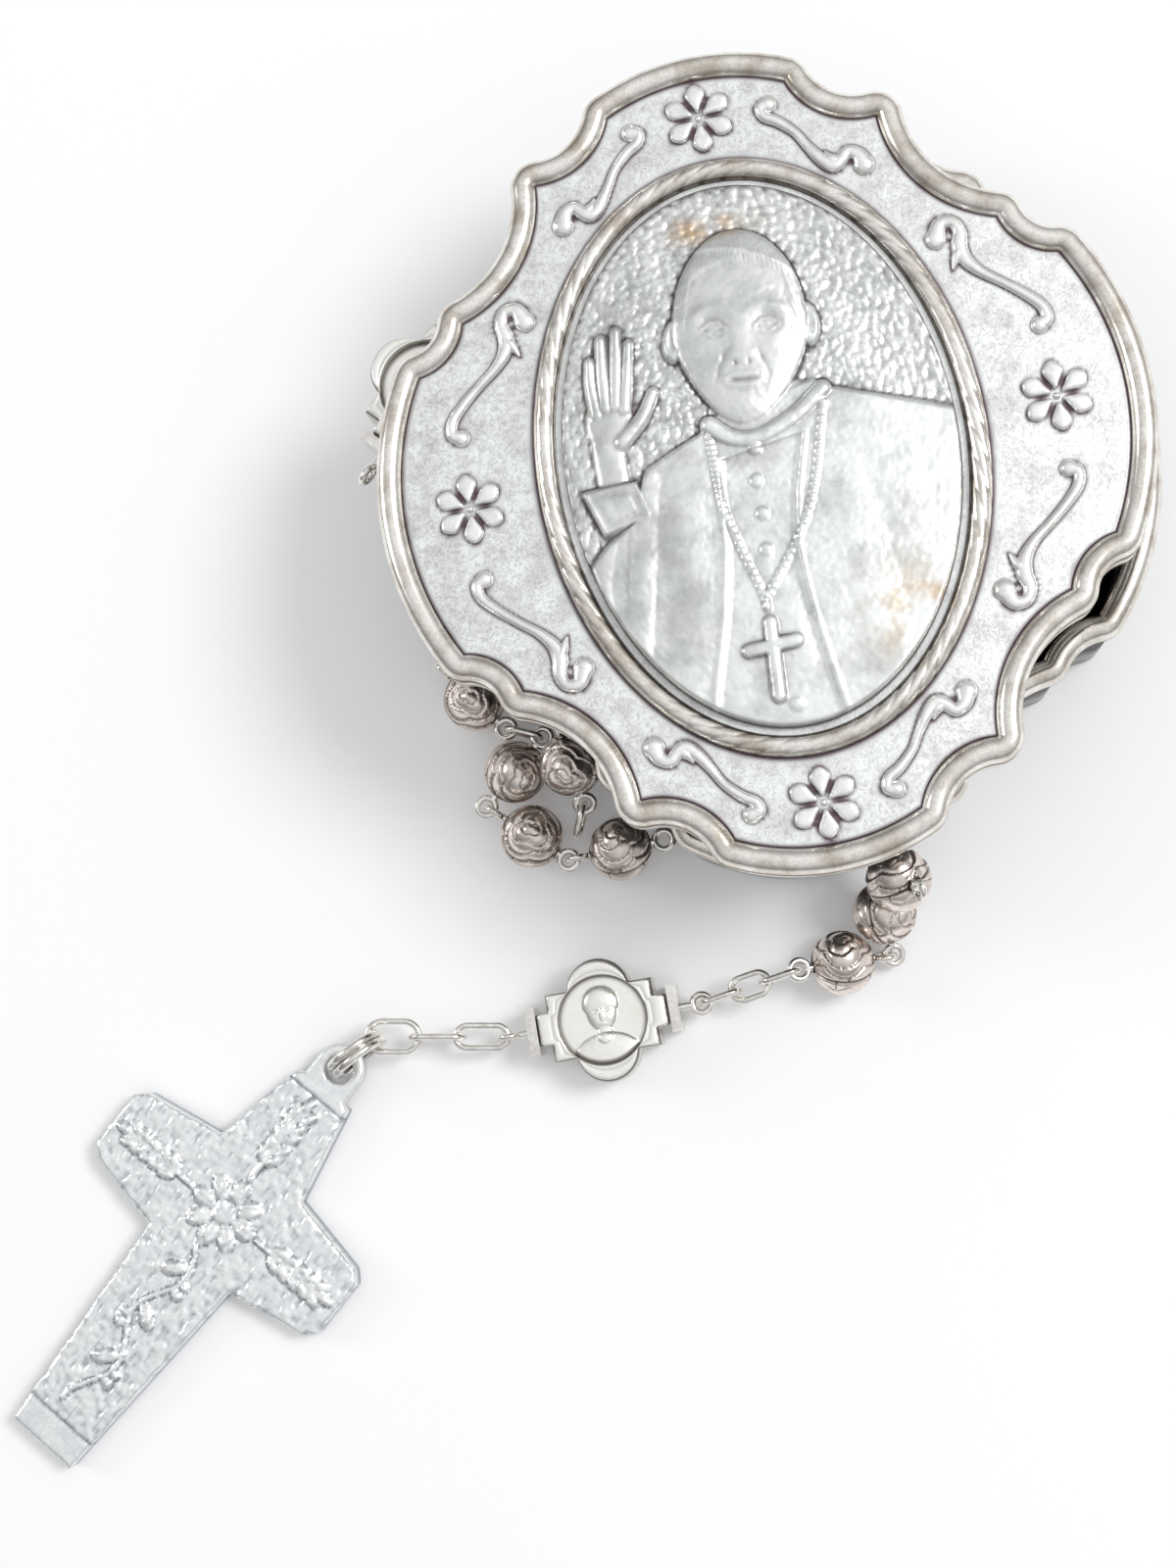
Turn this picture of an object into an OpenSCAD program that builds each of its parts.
// Rosary box: a scalloped metal box with a loose lid, and the rosary kept in it.
// Millimetres, +Z up. The origin is the centre of the base's underside, on the surface it stands on.

/* [Scalloped outline] */
// Centre to the top of an end lobe, along the border line
end_reach = 29.4; // [27:0.1:33]
// Half the width of an end lobe where it meets its bite
end_half = 6.7; // [5:0.1:7.5]
// How far an end lobe rises past its corners
end_rise = 1.5; // [1:0.1:2.5]
// Radius of the bite beside an end lobe
end_bite_r = 6.2; // [5:0.1:9]
// Across to the tip nearer the end lobe
end_tip_x = 12.95; // [12:0.05:14]
// How far the tip nearer the end lobe lies inside the end's reach
end_tip_in = 5.65; // [5:0.05:6.6]
// Radius of the long hollow between the two tips
hollow_r = 10.4; // [8:0.1:16]
// How far the tip nearer the side lobe lies inside the side's reach
side_tip_in = 6.7; // [6:0.05:7.4]
// How far that tip lies past the side lobe's corner
side_tip_past = 3.55; // [3:0.05:4.2]
// Radius of the bite beside a side lobe
side_bite_r = 4.8; // [3.5:0.1:8]
// How far a side lobe rises past its corners
side_rise = 2.75; // [2:0.05:3.4]
// Half the width of a side lobe where it meets its bite
side_half = 10.65; // [9.8:0.05:11.2]
// Centre to the top of a side lobe
side_reach = 26.9; // [25.8:0.1:30]

/* [Base] */
// Height of the base with its rim
base_h = 14; // [11:0.5:20]
// Thickness of the base's floor
floor_t = 1.2; // [0.8:0.1:2]
// Thickness of the base's wall
wall_t = 1.2; // [0.8:0.1:1.6]
// How far the base's outline lies inside the lid's
base_inset = 0.85; // [0.5:0.05:1.2]
// Height of the rounded rim moulding
rim_h = 1.7; // [1.3:0.1:2.2]

/* [Lid] */
// Width of the rounded mouldings on lid and base
rim_w = 2.1; // [1.8:0.05:2.4]
// Thickness of the lid's plate
plate_t = 1; // [0.8:0.1:1.4]
// Depth of the skirt under the lid's moulding
skirt_h = 1.8; // [1.2:0.1:2.4]
// Thickness of the skirt
skirt_t = 0.6; // [0.4:0.05:0.8]
// Angle at which the lid lies on the base
lid_turn = 12.4; // [0:0.1:20]
// Sideways place of the lid's centre
lid_x = -2.2; // [-3:0.1:0]
// Lengthwise place of the lid's centre
lid_y = -0.2; // [-1:0.1:1]
// From the side lobe's top in to the crest of the rope border
rope_side_in = 11; // [10.5:0.1:11.5]
// From the end lobe's top in to the crest of the rope border
rope_end_in = 7.3; // [6.8:0.1:7.9]
// Width of the rope border
rope_w = 1.7; // [1.3:0.1:2]
// Height of the rope border above the plate
rope_h = 0.9; // [0.6:0.1:1.2]
// Groove between the rope border and the plaque
groove_w = 0.5; // [0.3:0.1:0.8]
// Thickness of the plaque above the plate
plaque_h = 0.9; // [0.6:0.1:1.2]
// Relief of the rosettes and scrolls
ornament_h = 0.5; // [0.3:0.05:0.7]
// Relief of the figure on the plaque
relief_h = 1.1; // [0.8:0.1:1.4]

/* [Rosary] */
// Diameter of a rose bead
bead_d = 5.2; // [4.8:0.1:5.3]
// Diameter of the hole through a rose bead
bore_d = 0.8; // [0.75:0.01:0.9]
// Diameter of the pin through a rose bead
pin_d = 0.65; // [0.6:0.01:0.7]
// Thickness of the link wire
wire_d = 0.55; // [0.5:0.01:0.6]
// Radius of the loop at a pin's end, to the middle of the wire
loop_r = 0.75; // [0.72:0.01:0.8]
// Half the width of a chain link, to the middle of the wire
link_half = 0.92; // [0.9:0.01:0.98]
// Width of a medal bead, along its pin
medal_w = 10.8; // [10:0.1:11.5]
// Height of a medal bead, across its pin
medal_l = 10; // [9.4:0.1:10.4]
// Thickness of a medal bead
medal_t = 4.4; // [3.6:0.1:4.5]
// Radius of the round recess in a medal bead
recess_r = 3.6; // [3:0.1:3.8]
// Depth of the recess
recess_d = 0.7; // [0.4:0.1:1]

/* [Crucifix] */
// Length of the cross, foot to arms' crossing and on to the top of its tab
cross_l = 41.2; // [38:0.2:44]
// Span of the arms
cross_w = 24.4; // [22:0.2:26]
// Width of the arms at their ends
arm_end = 6.8; // [6:0.1:8]
// Width of the arms where they meet the upright
arm_mid = 9.4; // [7:0.1:10]
// Width of the upright where it meets the arms
limb_mid = 8.8; // [7:0.1:9.6]
// From the top of the tab to the middle of the arms
arms_from_top = 17.2; // [15:0.1:19]
// Thickness of the cross
cross_t = 2.1; // [1.9:0.1:2.6]
// Thickness of the tab with the hole
tab_t = 0.9; // [0.7:0.05:1]
// Diameter of the hole in the tab
hole_d = 2.3; // [2.2:0.05:2.5]
// Radius of the jump ring, to the middle of its wire
ring_r = 2.3; // [2.2:0.05:2.4]
// Thickness of the jump ring's wire
ring_wire = 0.7; // [0.6:0.02:0.72]

/* [Coil kept inside] */
// Radius of the two outer turns of the coil
coil_r = 19.4; // [19:0.1:19.8]
// Radius of the inner turn of the coil
inner_coil_r = 12.6; // [12.4:0.1:13]
// Radius of the small loops inside the coil, to the middle of the wire
coil_loop_r = 0.6; // [0.58:0.01:0.62]
// Thickness of the wire of those small loops
coil_wire = 0.4; // [0.36:0.01:0.42]

/* [Hidden] */

// Room left between pieces that must not touch
gap = 0.05;
// Tiny extra so that a cut runs past its faces
past = 0.5;
// Sides used for round pieces and for wire
round_sides = 72;
wire_sides = 24;

silver = [0.78, 0.76, 0.73];
pale = [0.88, 0.87, 0.85];
dark = [0.42, 0.4, 0.39];
rose = [0.7, 0.66, 0.63];

// Outline
// The point at distance r and angle a from c
function at(c, r, a) = c + r * [cos(a), sin(a)];
// The angle of the line from c to p
function heading(c, p) = atan2(p[1] - c[1], p[0] - c[0]);
// The angle b, moved by full turns to lie within half a turn of a
function near_angle(a, b) = b - 360 * round((b - a) / 360);
// Centre of the arc of radius r from a to b that bulges towards the box
function bite_centre(a, b, r) =
  let (half = norm(b - a) / 2, n = [a[1] - b[1], b[0] - a[0]] / norm(b - a))
  (a + b) / 2 + sqrt(r * r - half * half) * n;
// Where two circles cross, on the side nearer to p
function crossing(c1, r1, c2, r2, p) =
  let (
    d = norm(c2 - c1),
    u = (c2 - c1) / d,
    along = (d * d + r1 * r1 - r2 * r2) / (2 * d),
    up = sqrt(max(0, r1 * r1 - along * along)) * [-u[1], u[0]],
    foot = c1 + along * u
  )
  norm(foot + up - p) < norm(foot - up - p) ? foot + up : foot - up;
// Steps from angle a to angle b, n of them, without the last
function steps(a, b, n) = [for (i = [0 : n - 1]) a + (b - a) * i / n];

// Corners and centres of the border line, in the first quarter
end_corner = [end_half, end_reach - end_rise];
end_tip = [end_tip_x, end_reach - end_tip_in];
side_tip = [side_reach - side_tip_in, side_half + side_tip_past];
side_corner = [side_reach - side_rise, side_half];
end_r = (end_half * end_half + end_rise * end_rise) / (2 * end_rise);
side_r = (side_half * side_half + side_rise * side_rise) / (2 * side_rise);
end_c = [0, end_reach - end_r];
side_c = [side_reach - side_r, 0];
end_bite_c = bite_centre(end_corner, end_tip, end_bite_r);
hollow_c = bite_centre(end_tip, side_tip, hollow_r);
side_bite_c = bite_centre(side_tip, side_corner, side_bite_r);

// The arc of radius r round c from angle a to angle b, and the corner of radius r round p
function arc(c, r, a, b, n) = [for (t = steps(a, b, n)) at(c, r, t)];
// One quarter of the outline, inset by e and then grown by d with rounded corners
function quarter(e, d) =
  let (
    p1 = crossing(side_c, side_r - e, side_bite_c, side_bite_r + e, side_corner),
    p2 = crossing(side_bite_c, side_bite_r + e, hollow_c, hollow_r + e, side_tip),
    p3 = crossing(hollow_c, hollow_r + e, end_bite_c, end_bite_r + e, end_tip),
    p4 = crossing(end_bite_c, end_bite_r + e, end_c, end_r - e, end_corner),
    a1 = heading(side_c, p1),
    b1 = near_angle(a1, heading(side_bite_c, p1) + 180),
    b2 = near_angle(b1, heading(side_bite_c, p2) + 180),
    c2 = near_angle(b2, heading(hollow_c, p2) + 180),
    c3 = near_angle(c2, heading(hollow_c, p3) + 180),
    f3 = near_angle(c3, heading(end_bite_c, p3) + 180),
    f4 = near_angle(f3, heading(end_bite_c, p4) + 180),
    g4 = near_angle(f4, heading(end_c, p4))
  )
  concat(
    arc(side_c, side_r - e + d, 0, a1, 6),
    arc(p1, d, a1, b1, 3),
    arc(side_bite_c, side_bite_r + e - d, b1 + 180, b2 + 180, 4),
    arc(p2, d, b2, c2, 3),
    arc(hollow_c, hollow_r + e - d, c2 + 180, c3 + 180, 6),
    arc(p3, d, c3, f3, 3),
    arc(end_bite_c, end_bite_r + e - d, f3 + 180, f4 + 180, 5),
    arc(p4, d, f4, g4, 3),
    arc(end_c, end_r - e + d, g4, 90, 5),
    [at(end_c, end_r - e + d, 90)]
  );
// The whole outline, anticlockwise from the right
function outline(e, d) =
  let (q = quarter(e, d), last = len(q) - 1)
  concat(
    q,
    [for (i = [last - 1 : -1 : 0]) [-q[i][0], q[i][1]]],
    [for (i = [1 : last]) -q[i]],
    [for (i = [last - 1 : -1 : 1]) [q[i][0], -q[i][1]]]
  );
// A plate of the outline between two heights
module slab(e, d, low, high) {
  translate([0, 0, low])
    linear_extrude(high - low) polygon(outline(e, d));
}
// A moulding with a flat foot and a half round crest, swept along the outline
module moulding(e, inner, width, low, high) {
  r = width / 2;
  section = concat(
    [[inner, low], [inner + width, low]],
    [for (a = [0 : 30 : 180]) [inner + r + r * cos(a), high - r + r * sin(a)]]
  );
  loops = [for (s = section) [for (p = outline(e, s[0])) [p[0], p[1], s[1]]]];
  n = len(loops[0]);
  m = len(section);
  polyhedron(
    points = [for (l = loops) for (p = l) p],
    faces = [
      for (j = [0 : m - 1]) for (i = [0 : n - 1])
        let (k = (i + 1) % n, h = (j + 1) % m)
        for (f = [[j * n + i, h * n + i, h * n + k], [j * n + i, h * n + k, j * n + k]]) f
    ],
    convexity = 8
  );
}

// Heights and widths that follow
seam = 0.1;
rim_in = seam;
rim_out = rim_w;
base_wall_out = rim_out - 0.5;
base_wall_in = base_wall_out - wall_t;
base_rim_z = base_h - rim_h;
rim_bead_z = base_h + gap;
lid_low = rim_bead_z + medal_t + 0.15;
lid_under = lid_low + skirt_h;
lid_top = lid_under + plate_t;
lid_crest = lid_top + 0.7;
rope_x = side_reach - rope_side_in;
rope_y = end_reach - rope_end_in;
plaque_x = rope_x - rope_w / 2 - groove_w;
plaque_y = rope_y - rope_w / 2 - groove_w;

module place_lid() {
  translate([lid_x, lid_y, 0]) rotate([0, 0, lid_turn]) children();
}

// Base
module base_floor() {
  color(dark) slab(base_inset, base_wall_in, 0, floor_t);
}
module base_wall() {
  color(dark) difference() {
    slab(base_inset, base_wall_out, 0, base_rim_z);
    slab(base_inset, base_wall_in, -past, base_rim_z + past);
  }
}
module base_rim() {
  color(silver) moulding(base_inset, rim_in, rim_out - rim_in, base_rim_z, base_h);
}

// Lid
module lid_plate() {
  color(pale) place_lid() slab(0, rim_in, lid_under, lid_top);
}
module lid_skirt() {
  color(silver) place_lid() difference() {
    slab(0, rim_out, lid_low, lid_under);
    slab(0, rim_out - skirt_t, lid_low - past, lid_under + past);
  }
}
module lid_rim() {
  color(silver) place_lid() moulding(0, rim_in, rim_out - rim_in, lid_under, lid_crest);
}
// The points of an ellipse with half axes a and b
function ellipse(a, b, n) = [for (i = [0 : n - 1]) [a * cos(360 * i / n), b * sin(360 * i / n)]];
oval_sides = 72;
module oval(a, b, low, high) {
  translate([0, 0, low]) linear_extrude(high - low) polygon(ellipse(a, b, oval_sides));
}
module rope_border() {
  color(silver) place_lid() difference() {
    oval(rope_x + rope_w / 2, rope_y + rope_w / 2, lid_top, lid_top + rope_h);
    oval(rope_x - rope_w / 2, rope_y - rope_w / 2, lid_top - past, lid_top + rope_h + past);
  }
}
module oval_plaque() {
  color(pale) place_lid() oval(plaque_x, plaque_y, lid_top, lid_top + plaque_h);
}
// The half-length figure of a cleric: shoulders and cape, head with a skullcap, raised hand, cross
plaque_top = lid_top + plaque_h;
// The figure's points are drawn for a plaque of these half axes and stretched to the real one
drawn_plaque = [14.55, 20.75];
figure_edge = 0.25;
body_h = 0.55 * relief_h;
head_h = 0.85 * relief_h;
small_h = 0.12 * relief_h;
body_line = [
  [-16, -22], [16, -22], [16, 0.2], [10.5, 2.3], [6.2, 3.9], [4.8, 4.8], [-3.2, 3.4], [-4.4, 2.2],
  [-8.6, 0.4], [-10, -2.4], [-12.3, -4.4], [-16, -8]
];
head_at = [0.2, 9.6];
head_lean = -6;
head_size = [5.2, 7.6];
cap_at = [0.7, 12.9];
cap_size = [4.7, 4.5];
cap_cut = [-0.9, 7.2];
cap_cut_size = [8, 7.2];
collar_line = [[-3.2, 2.3], [-1.8, 1.2], [0.2, 1], [3, 2], [5.2, 3.4]];
palm_at = [-10.6, 4.2];
palm_size = [1.7, 2.6];
fingers = [
  [[-11.5, 5.6], [-11.4, 9]], [[-10.8, 6], [-10.3, 10.5]],
  [[-9.9, 6.2], [-9, 10.9]], [[-9.2, 5.6], [-8.2, 9.8]], [[-9.4, 3.2], [-7.1, 5.7]]
];
wrist_line = [[-11, 3], [-11.1, -2.2]];
wrist_w = 2.2;
cuff_line = [[-13.6, -0.5], [-9.3, -0.6], [-8.6, -3.4], [-12.4, -4.3]];
button_at = [[-0.3, 0.1], [-0.6, -2.3], [-0.6, -4.8], [-0.8, -7.5], [-0.6, -19.1]];
cross_lines = [[[-1.5, -13.2], [-1.8, -18.2]], [[-3.2, -14.7], [0.1, -14.5]]];
finger_w = 0.9;
button_r = 0.5;
pectoral_w = 1.1;
// A flat ribbon along a list of points, as one polygon
module ribbon(p, width) {
  last = len(p) - 1;
  ahead = [for (i = [0 : last]) p[min(i + 1, last)] - p[max(i - 1, 0)]];
  side = [for (d = ahead) [-d[1], d[0]] * width / 2 / norm(d)];
  polygon(concat([for (i = [0 : last]) p[i] - side[i]], [for (i = [last : -1 : 0]) p[i] + side[i]]));
}
// Children drawn in the plaque's own frame, raised from low to high above it
module raised(low, high) {
  translate([0, 0, plaque_top + low]) linear_extrude(high - low)
    scale([plaque_x / drawn_plaque[0], plaque_y / drawn_plaque[1]]) children();
}
module drawn_oval(c, size, turn) {
  translate(c) rotate(turn) polygon(ellipse(size[0], size[1], 48));
}
module plaque_figure() {
  color(silver) place_lid() {
    raised(0, body_h) intersection() {
      polygon(body_line);
      drawn_oval([0, 0], drawn_plaque - [figure_edge, figure_edge], 0);
    }
    raised(0, head_h) drawn_oval(head_at, head_size, head_lean);
    raised(0, relief_h) difference() {
      drawn_oval(cap_at, cap_size, head_lean);
      drawn_oval(cap_cut, cap_cut_size, head_lean);
    }
    raised(0, body_h + 2 * small_h) ribbon(collar_line, pectoral_w);
    raised(0, body_h - small_h) drawn_oval(palm_at, palm_size, 0);
    raised(0, body_h - small_h) ribbon(wrist_line, wrist_w);
    for (f = fingers) raised(0, body_h) ribbon(f, finger_w);
    raised(0, body_h + small_h) polygon(cuff_line);
    for (e = cross_lines) raised(0, body_h + 3 * small_h) ribbon(e, pectoral_w);
    for (c = button_at) raised(0, body_h + small_h) drawn_oval(c, [button_r, button_r], 0);
  }
}
// The four rosettes stand midway between the rope border and the lobes' tops
rosette_side_in = 4.9;
rosette_end_in = 2.97;
rosette_x = side_reach - rosette_side_in;
rosette_y = end_reach - rosette_end_in;
petal_r = 0.95;
petal_at = 1.6;
rosette_core_r = 0.9;
module rosette(c) {
  translate([c[0], c[1], lid_top]) {
    cylinder(r = rosette_core_r, h = ornament_h, $fn = 36);
    for (i = [0 : 5])
      translate(at([0, 0], petal_at, 60 * i + 30)) cylinder(r = petal_r, h = ornament_h, $fn = 36);
  }
}
module lid_rosettes() {
  color(pale) place_lid()
    for (c = [[rosette_x, 0], [-rosette_x, 0], [0, rosette_y], [0, -rosette_y]]) rosette(c);
}
// A flat stroke along a list of points, as a chain of short bars with round joints
module stroke(points, width) {
  for (i = [0 : len(points) - 2]) {
    a = points[i];
    b = points[i + 1];
    translate(a) circle(d = width, $fn = 24);
    translate(a) rotate(heading(a, b)) translate([0, -width / 2]) square([norm(b - a), width]);
  }
  translate(points[len(points) - 1]) circle(d = width, $fn = 24);
}
// The scrolls' points are drawn for a lid of these reaches and moved with the real ones
drawn_reach = [26.9, 29.4];
function moved(p) = [p[0] * side_reach / drawn_reach[0], p[1] * end_reach / drawn_reach[1]];
stem_w = 0.8;
ball_r = 0.85;
small_ball_r = 0.7;
end_ball = [11.13, 20.46];
side_ball = [15.85, 13.81];
end_scroll = [[10.6, 21.1], [9.9, 20.1], [8.4, 21.6], [7.4, 23.6], [5.9, 24.9], [5.24, 25.97]];
side_scroll = [[16.6, 13.9], [16.9, 12.6], [17.9, 11.1], [19.7, 9.6], [21.2, 7.6], [21.93, 5.88]];
module lid_scrolls() {
  color(pale) place_lid()
    for (x = [0, 1]) for (y = [0, 1]) mirror([x, 0, 0]) mirror([0, y, 0])
      for (s = [[end_scroll, end_ball], [side_scroll, side_ball]])
        translate([0, 0, lid_top]) linear_extrude(ornament_h) union() {
          stroke([for (p = s[0]) moved(p)], stem_w);
          translate(moved(s[1])) circle(r = ball_r, $fn = 36);
          translate(moved(s[0][len(s[0]) - 1])) circle(r = small_ball_r, $fn = 36);
        }
}

// Rosary: pieces
// Turns children so that their X axis points along the direction d
module aim(d, roll = 0) {
  rotate([0, 0, atan2(d[1], d[0])]) rotate([0, -asin(d[2]), 0]) rotate([roll, 0, 0]) children();
}
// The direction of a bearing and a rise above the level, and that from one point to another
function along(bearing, rise) = [cos(bearing) * cos(rise), sin(bearing) * cos(rise), sin(rise)];
function towards(a, b) = (b - a) / norm(b - a);
// The roll about direction d that brings a flat ring into the plane of d and v
function roll_to(d, v) =
  let (level = [-d[1], d[0], 0] / norm([d[0], d[1]]))
  atan2(v * cross(d, level), v * level);
module torus(r, d) {
  rotate_extrude($fn = 48) translate([r, 0]) circle(d = d, $fn = wire_sides);
}
module bead() {
  rotate([0, 90, 0]) difference() {
    sphere(d = bead_d, $fn = round_sides);
    cylinder(d = bore_d, h = bead_d + 2 * past, center = true, $fn = 36);
  }
}
// A pin through a bead along X, with a loop at each end turned by its own roll
module pin(left, right, r, w, left_roll, right_roll) {
  translate([-left + r, 0, 0]) rotate([0, 90, 0])
    cylinder(d = pin_d, h = left + right - 2 * r, $fn = 36);
  translate([-left, 0, 0]) rotate([left_roll, 0, 0]) torus(r, w);
  translate([right, 0, 0]) rotate([right_roll, 0, 0]) torus(r, w);
}
// A long link lying along X, with the half length and half width of its wire's middle line
module link(half, half_w) {
  run = half - half_w;
  for (s = [0, 1]) mirror([s, 0, 0]) translate([run, 0, 0]) rotate([0, 0, -90])
    rotate_extrude(angle = 180, $fn = 48) translate([half_w, 0]) circle(d = wire_d, $fn = wire_sides);
  for (y = [-half_w, half_w]) translate([-run, y, 0]) rotate([0, 90, 0])
    cylinder(d = wire_d, h = 2 * run, $fn = wire_sides);
}
// Links in a straight run between two loops' centres, the first with its own half width
link_play = 0.1;
module chain(a, b, n, first_roll, first_half_w = link_half) {
  span = norm(b - a);
  pitch = (span - loop_r) / n;
  half = (pitch + wire_d + link_play) / 2;
  for (i = [0 : n - 1])
    translate(a + towards(a, b) * (loop_r / 2 + pitch * (i + 0.5)))
      aim(towards(a, b), first_roll + 90 * i) link(half, i == 0 ? first_half_w : link_half);
}

// Rosary: the beads that show
// A loop's centre lies this far from its bead's centre or farther
bead_reach = bead_d / 2 + loop_r + wire_d / 2;
bead_rest = bead_d / 2 + gap;
// Centres of the beads by the pendant, and of those of the looped strand
bead_1 = [5.3, -36.9, bead_rest];
bead_2 = [8.5, -32.7, bead_rest];
bead_3 = [9.4, -30.4, 7.7];
bead_4 = [-25.8, -16.5, bead_rest];
bead_5 = [-22.1, -22.4, bead_rest];
bead_6 = [-17.2, -21.9, 4.9];
bead_7 = [-20.4, -27.7, bead_rest];
bead_8 = [-13.05, -28.45, bead_rest];
// Directions of the pins; where a loop hangs in the next one, the pin is aimed at that loop
pin_2 = along(105, 18);
loop_2_left = bead_2 - bead_reach * pin_2;
loop_2_right = bead_2 + bead_reach * pin_2;
pin_1 = towards(bead_1, loop_2_left);
pin_3 = towards(loop_2_right, bead_3);
pin_4 = along(320, 0);
pin_5 = along(233.7, 0);
loop_5_right = bead_5 + (bead_reach + 0.1) * pin_5;
pin_6 = along(110, 30);
pin_7 = towards(loop_5_right, bead_7);
loop_7_right = bead_7 + bead_reach * pin_7;
pin_8 = towards(loop_7_right, bead_8);
level = [0, 0, 1];
flat_4 = cross(level, pin_4);
flat_5 = cross(level, pin_5);
// Each shown bead: its centre, its pin's direction, the reach of the left and the right loop,
// and a second direction in the plane of each loop
shown_beads = [
  [bead_1, pin_1, bead_reach, norm(loop_2_left - bead_1) - loop_r, cross(level, pin_1), cross(pin_1, pin_2)],
  [bead_2, pin_2, bead_reach, bead_reach, pin_1, pin_3],
  [bead_3, pin_3, norm(bead_3 - loop_2_right) - loop_r, bead_reach, cross(pin_3, pin_2), pin_2],
  [bead_4, pin_4, bead_reach, bead_reach, level, flat_4],
  [bead_5, pin_5, bead_reach, bead_reach + 0.1, flat_5, flat_5],
  [bead_6, pin_6, bead_reach, bead_reach, cross(level, pin_6), level],
  [bead_7, pin_7, norm(bead_7 - loop_5_right) - loop_r, bead_reach, level, cross(level, pin_7)],
  [bead_8, pin_8, norm(bead_8 - loop_7_right) - loop_r, bead_reach, level, cross(level, pin_8)]
];
module shown_bead(i) {
  b = shown_beads[i];
  color(rose) translate(b[0]) aim(b[1]) bead();
}
module rose_bead_1() { shown_bead(0); }
module rose_bead_2() { shown_bead(1); }
module rose_bead_3() { shown_bead(2); }
module rose_bead_4() { shown_bead(3); }
module rose_bead_5() { shown_bead(4); }
module rose_bead_6() { shown_bead(5); }
module rose_bead_7() { shown_bead(6); }
module rose_bead_8() { shown_bead(7); }
module rose_bead_pins() {
  color(pale) for (b = shown_beads)
    translate(b[0]) aim(b[1])
      pin(b[2], b[3], loop_r, wire_d, roll_to(b[1], b[4]), roll_to(b[1], b[5]));
}
// Where the left or right loop of a shown bead has its centre
function bead_loop(i, side) =
  let (b = shown_beads[i])
  b[0] + (side < 0 ? -b[2] : b[3]) * b[1];

// Medal beads: a four-lobed body with a round recess, a cap on each side and a looped pin
lobe_half = 2.6;
medal_cap_at = medal_w / 2;
cap_w = 0.8;
cap_h = 1.9;
medal_reach = 8;
module medal_outline(w, l) {
  union() {
    for (s = [-1, 1]) translate([0, s * (l / 2 - lobe_half)]) circle(r = lobe_half, $fn = 48);
    square([2 * lobe_half, l - 2 * lobe_half], center = true);
    square([w - 2.2, 5.2], center = true);
    square([w, 2.6], center = true);
  }
}
module medal_body() {
  difference() {
    linear_extrude(medal_t, center = true) medal_outline(medal_w, medal_l);
    translate([0, 0, medal_t / 2 - recess_d])
      cylinder(r = recess_r, h = recess_d + past, $fn = round_sides);
    rotate([0, 90, 0]) cylinder(d = bore_d, h = medal_w + 2 * past, center = true, $fn = 36);
  }
}
module medal_caps() {
  for (s = [-1, 1]) translate([s * (medal_cap_at + cap_w / 2), 0, 0]) difference() {
    cube([cap_w, 2 * cap_h, medal_t - 0.8], center = true);
    rotate([0, 90, 0]) cylinder(d = bore_d, h = cap_w + 2 * past, center = true, $fn = 36);
  }
}
module medal_pin() {
  pin(medal_reach, medal_reach, loop_r, wire_d, 90, 0);
}
module medal_relief() {
  translate([0, 0, medal_t / 2 - recess_d]) {
    cylinder(r = 1.5, h = recess_d * 0.8, $fn = 48);
    translate([0, -1.8, 0]) cylinder(r = 1.2, h = recess_d * 0.8, $fn = 48);
  }
}
pendant_medal_at = [-13.7, -42.4, medal_t / 2 + gap];
pendant_medal_bearing = 12.5;
module place_pendant_medal() {
  translate(pendant_medal_at) rotate([0, 0, pendant_medal_bearing]) children();
}
module pendant_medal() { color(silver) place_pendant_medal() medal_body(); }
module pendant_medal_caps() { color(silver) place_pendant_medal() medal_caps(); }
module pendant_medal_pin() { color(pale) place_pendant_medal() medal_pin(); }
module pendant_medal_relief() { color(pale) place_pendant_medal() medal_relief(); }

rim_medal_at = [-28.27, 5.49, rim_bead_z + medal_t / 2];
rim_medal_bearing = 55;
module place_rim_medal() {
  translate(rim_medal_at) rotate([0, 0, rim_medal_bearing]) children();
}
module rim_medal() { color(silver) place_rim_medal() medal_body(); }
module rim_medal_caps() { color(silver) place_rim_medal() medal_caps(); }
module rim_medal_pin() { color(pale) place_rim_medal() medal_pin(); }
module rim_medal_relief() { color(pale) place_rim_medal() medal_relief(); }

// Crucifix: lies face up, its long axis on the bearing below, the tab's hole held by the ring
cross_bearing = 54;
hole_at = [-35.5, -47.45];
hole_in = 2.1;
tab_w = 6.6;
tab_l = 4.4;
cross_z = gap;
foot_w = 6.3;
neck_w = 5.4;
// How much each corner of the arms' ends is cut off
corner_cut = 0.9;
module cross_outline() {
  top = hole_in - tab_l;
  centre = hole_in - arms_from_top;
  half = arm_end / 2;
  polygon([
    [top, -neck_w / 2], [top, neck_w / 2],
    [centre + arm_mid / 2, limb_mid / 2],
    [centre + half, cross_w / 2 - corner_cut], [centre + half - corner_cut, cross_w / 2],
    [centre - half + corner_cut, cross_w / 2], [centre - half, cross_w / 2 - corner_cut],
    [centre - arm_mid / 2, limb_mid / 2],
    [hole_in - cross_l, foot_w / 2], [hole_in - cross_l, -foot_w / 2],
    [centre - arm_mid / 2, -limb_mid / 2],
    [centre - half, corner_cut - cross_w / 2], [centre - half + corner_cut, -cross_w / 2],
    [centre + half - corner_cut, -cross_w / 2], [centre + half, corner_cut - cross_w / 2],
    [centre + arm_mid / 2, -limb_mid / 2]
  ]);
}
module place_cross() {
  translate([hole_at[0], hole_at[1], cross_z]) rotate([0, 0, cross_bearing]) children();
}
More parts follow.
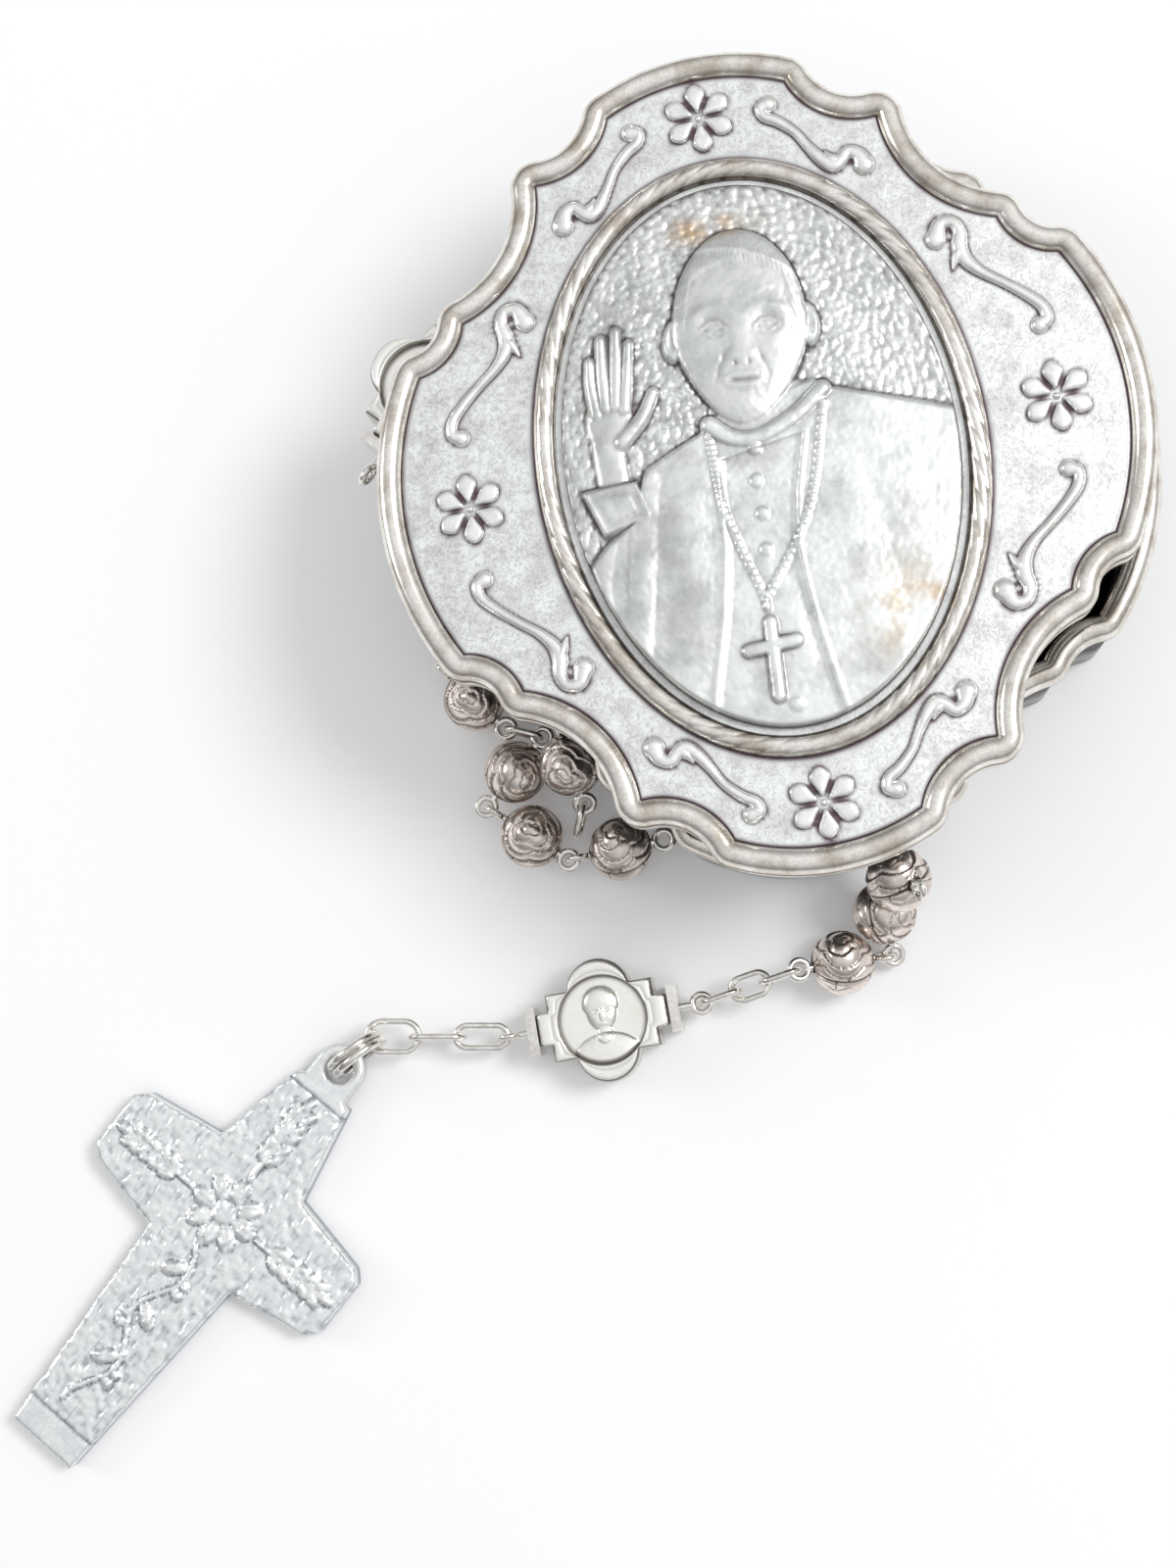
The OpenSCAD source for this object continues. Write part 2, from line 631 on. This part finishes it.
module crucifix() {
  color(silver) place_cross() difference() {
    union() {
      linear_extrude(cross_t) cross_outline();
      translate([0, 0, cross_t - tab_t]) linear_extrude(tab_t) union() {
        translate([hole_in - tab_l - 1, -neck_w / 2]) square([tab_l - hole_in + 1, neck_w]);
        circle(r = hole_in, $fn = 48);
        translate([hole_in - tab_l - 1, -hole_in]) square([tab_l - hole_in + 1, 2 * hole_in]);
      }
    }
    translate([0, 0, -past]) cylinder(d = hole_d, h = cross_t + 2 * past, $fn = 48);
  }
}
// The ornament on the cross: a rosette at the crossing, wheat ears on the arms, and a vine below it
motif_h = 0.4;
motif_w = 0.45;
grain_size = [0.58, 0.34];
grain_out = 0.42;
grain_lean = 24;
motif_start = 3.7;
flower_core_r = 1.26;
flower_petal_r = 1.06;
flower_petal_at = 2.1;
leaf_size = [1.15, 0.6];
vine_end = 0.48 * cross_l;
vine_wave = 0.95;
vine_pitch = cross_l / 9;
module grain(size) {
  polygon(ellipse(size[0], size[1], 12));
}
module ear(from, to, pairs) {
  ribbon([[from, 0], [to, 0]], motif_w);
  for (i = [0 : pairs - 1]) for (side = [-1, 1])
    translate([to - (to - from) * 0.84 * i / pairs, side * grain_out]) rotate(side * grain_lean) grain(grain_size);
}
module vine(from, to) {
  wave = 180 / vine_pitch;
  ribbon([for (t = [from : vine_pitch / 8 : to]) [t, vine_wave * sin(wave * (t - from))]], motif_w);
  for (i = [0 : floor((to - from) / vine_pitch) - 1])
    translate([from + vine_pitch * (i + 0.5), (i % 2 == 0 ? 0.55 : -0.55) * vine_wave])
      rotate(i % 2 == 0 ? -50 : 50) grain(leaf_size);
}
module crucifix_ornament() {
  arm_tip = cross_w / 2 - 2.6 * grain_size[0];
  top_tip = arms_from_top - tab_l - 2.2 * grain_size[0];
  color(pale) place_cross() translate([hole_in - arms_from_top, 0, cross_t])
    linear_extrude(motif_h) union() {
      circle(r = flower_core_r, $fn = 36);
      for (i = [0 : 7]) translate(at([0, 0], flower_petal_at, 45 * i)) circle(r = flower_petal_r, $fn = 24);
      for (turn = [-90, 90]) rotate(turn) ear(motif_start, arm_tip, 5);
      ear(motif_start, top_tip, 5);
      rotate(180) vine(motif_start, vine_end);
    }
}
ring_bearing = 40;
ring_rise = ring_r + ring_wire / 2 + gap;
tab_mid = cross_z + cross_t - tab_t / 2;
// The ring stands upright, and its wire runs through the middle of the tab's hole
ring_side = sqrt(ring_r * ring_r - (ring_rise - tab_mid) * (ring_rise - tab_mid));
ring_at = [hole_at[0] + ring_side * cos(ring_bearing), hole_at[1] + ring_side * sin(ring_bearing), ring_rise];
module jump_ring() {
  color(pale) translate(ring_at) rotate([0, 0, ring_bearing]) rotate([90, 0, 0])
    for (s = [-1, 1]) translate([0, 0, s * (ring_wire / 2 + 0.02)]) torus(ring_r, ring_wire);
}

// Rosary: the links that show
function medal_loop(c, bearing, side) = c + side * medal_reach * [cos(bearing), sin(bearing), 0];
medal_left = medal_loop(pendant_medal_at, pendant_medal_bearing, -1);
medal_right = medal_loop(pendant_medal_at, pendant_medal_bearing, 1);
// The ring's wire on its far side, and the start of the run that hangs on it
ring_far = ring_at + ring_r * [cos(ring_bearing), sin(ring_bearing), 0];
ring_start = ring_far - (ring_wire + wire_d - loop_r / 4) * towards(ring_far, medal_left);
module crucifix_links() {
  color(pale) chain(ring_start, medal_left, 3, 0, ring_wire + wire_d);
}
module bead_links() {
  color(pale) chain(medal_right, bead_loop(0, -1) + [0, 0, link_play], 3, 90);
}
module looped_strand_links() {
  color(pale) {
    chain(bead_loop(3, 1), bead_loop(4, -1), 1, 90);
    chain(bead_loop(5, -1), bead_loop(5, -1) + [-0.6, -2.6, -1.3], 1, 90);
  }
}

// The coil kept in the base: two outer turns one above the other, and an inner turn
coil_count = 17;
inner_count = 11;
// Share of a step by which the first bead of a turn lies round from the X axis
turn_start = 0.3;
low_turn_z = floor_t + bead_d / 2 + 2 * gap;
high_turn_z = low_turn_z + bead_d + 2 * gap;
module on_turn(r, z, n, i) {
  rotate([0, 0, 360 * (i + turn_start) / n]) translate([r, 0, z]) rotate([0, 0, 90]) children();
}
// How far a coil pin's loops reach, so that neighbouring loops hang in each other
function coil_reach(r, n) = (2 * r * sin(180 / n) - coil_loop_r) / (2 * cos(180 / n));
module coil_sector(from, to) {
  color(rose) for (z = [low_turn_z, high_turn_z])
    for (i = [from : to]) on_turn(coil_r, z, coil_count, i) bead();
}
module coil_beads_right() { coil_sector(-2, 2); }
module coil_beads_back() { coil_sector(3, 6); }
module coil_beads_left() { coil_sector(7, 10); }
module coil_beads_front() { coil_sector(11, 14); }
module inner_coil_beads() {
  color(rose) for (i = [0 : inner_count - 1]) on_turn(inner_coil_r, low_turn_z, inner_count, i) bead();
}
module turn_pins(r, z, n) {
  reach = coil_reach(r, n);
  for (i = [0 : n - 1]) on_turn(r, z, n, i) pin(reach, reach, coil_loop_r, coil_wire, 0, 90);
}
module outer_coil_pins() {
  color(pale) for (z = [low_turn_z, high_turn_z]) turn_pins(coil_r, z, coil_count);
}
module inner_coil_pins() {
  color(pale) turn_pins(inner_coil_r, low_turn_z, inner_count);
}
inner_medal_x = 10.9;
inner_medal_y = 11.7;
inner_medal_z = low_turn_z + bead_d / 2 + medal_t / 2 + 2 * gap;
module on_inner_medals() {
  for (p = [[inner_medal_x, 0, 90], [0, inner_medal_y, 180], [-inner_medal_x, 0, 270], [0, -inner_medal_y, 0]])
    translate([p[0], p[1], inner_medal_z]) rotate([0, 0, p[2]]) children();
}
module inner_medals() { color(silver) on_inner_medals() medal_body(); }
module inner_medal_caps() { color(silver) on_inner_medals() medal_caps(); }
module inner_medal_pins() { color(pale) on_inner_medals() medal_pin(); }
centre_t = 1.2;
centre_size = [4.2, 5.4];
eye_r = 1.3;
eye_hole_r = 0.6;
// The three eyes of the centre medal lie at these angles round its oval
eye_turns = [-90, 48, 132];
function eye_place(t) =
  let (rim = centre_size + [eye_hole_r, eye_hole_r])
  [rim[0] * cos(t), rim[1] * sin(t)];
module centre_medal() {
  color(silver) translate([0, 0, floor_t]) difference() {
    union() {
      linear_extrude(centre_t) polygon(ellipse(centre_size[0], centre_size[1], 48));
      for (t = eye_turns) translate(eye_place(t)) cylinder(r = eye_r, h = centre_t, $fn = 36);
    }
    for (t = eye_turns) translate(eye_place(t)) translate([0, 0, -past])
      cylinder(r = eye_hole_r, h = centre_t + 2 * past, $fn = 36);
  }
}

base_floor();
base_wall();
base_rim();
lid_plate();
lid_skirt();
lid_rim();
rope_border();
oval_plaque();
plaque_figure();
lid_rosettes();
lid_scrolls();
crucifix();
crucifix_ornament();
jump_ring();
crucifix_links();
bead_links();
looped_strand_links();
pendant_medal();
pendant_medal_caps();
pendant_medal_pin();
pendant_medal_relief();
rose_bead_1();
rose_bead_2();
rose_bead_3();
rose_bead_4();
rose_bead_5();
rose_bead_6();
rose_bead_7();
rose_bead_8();
rose_bead_pins();
rim_medal();
rim_medal_caps();
rim_medal_pin();
rim_medal_relief();
coil_beads_front();
coil_beads_right();
coil_beads_back();
coil_beads_left();
inner_coil_beads();
outer_coil_pins();
inner_coil_pins();
inner_medals();
inner_medal_caps();
inner_medal_pins();
centre_medal();
